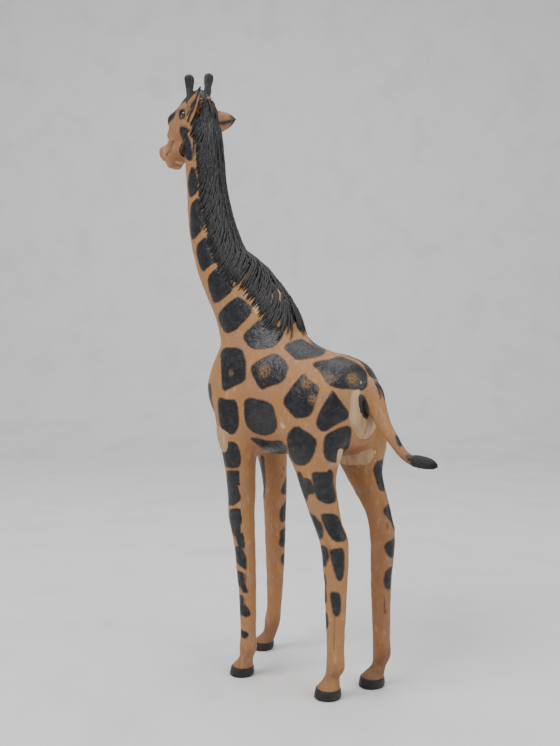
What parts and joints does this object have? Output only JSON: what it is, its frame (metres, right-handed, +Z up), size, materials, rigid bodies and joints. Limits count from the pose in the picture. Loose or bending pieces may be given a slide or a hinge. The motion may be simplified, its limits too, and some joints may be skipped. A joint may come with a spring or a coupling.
{
  "type": "giraffe figurine",
  "caption": "Free-standing giraffe figure: a doweled wooden core under a glued, hand-painted leather hide, standing on its hooves as an ornament.",
  "frame": {"origin": "on the floor, under the middle of the figure's bounding box", "axes": "+Z up; the giraffe faces -Y; +X is the animal's left side"},
  "size_m": [0.1, 0.3419, 0.6363],
  "materials": {
    "core_wood": "plain carved softwood, unsealed",
    "dowel_wood": "plain birch dowel",
    "black_wood": "carved wood, black paint with a satin sheen",
    "hide_leather": "thin tanned hide, oiled, with glossy black painted patches",
    "black_leather": "black painted leather, satin",
    "steel_wire": "annealed iron wire",
    "eye_glass": "solid dark glass, polished"
  },
  "bodies": {
    "root": {"torso_core": "core_wood", "neck_core": "core_wood", "head_core": "core_wood", "front_left_leg_core": "core_wood", "front_right_leg_core": "core_wood", "hind_left_leg_core": "core_wood", "hind_right_leg_core": "core_wood", "neck_dowel": "dowel_wood", "head_dowel": "dowel_wood", "front_left_leg_dowel": "dowel_wood", "front_right_leg_dowel": "dowel_wood", "hind_left_leg_dowel": "dowel_wood", "hind_right_leg_dowel": "dowel_wood", "front_left_hoof": "black_wood", "front_right_hoof": "black_wood", "hind_left_hoof": "black_wood", "hind_right_hoof": "black_wood", "torso_hide": "hide_leather", "neck_hide": "hide_leather", "head_hide": "hide_leather", "front_left_leg_hide": "hide_leather", "front_right_leg_hide": "hide_leather", "hind_left_leg_hide": "hide_leather", "hind_right_leg_hide": "hide_leather", "tail_hide": "hide_leather", "tail_wire": "steel_wire", "tail_tuft": "black_leather", "mane": "black_wood", "left_ear": "hide_leather", "right_ear": "hide_leather", "left_horn": "black_wood", "right_horn": "black_wood", "left_eye": "eye_glass", "right_eye": "eye_glass"}
  },
  "joints": []
}
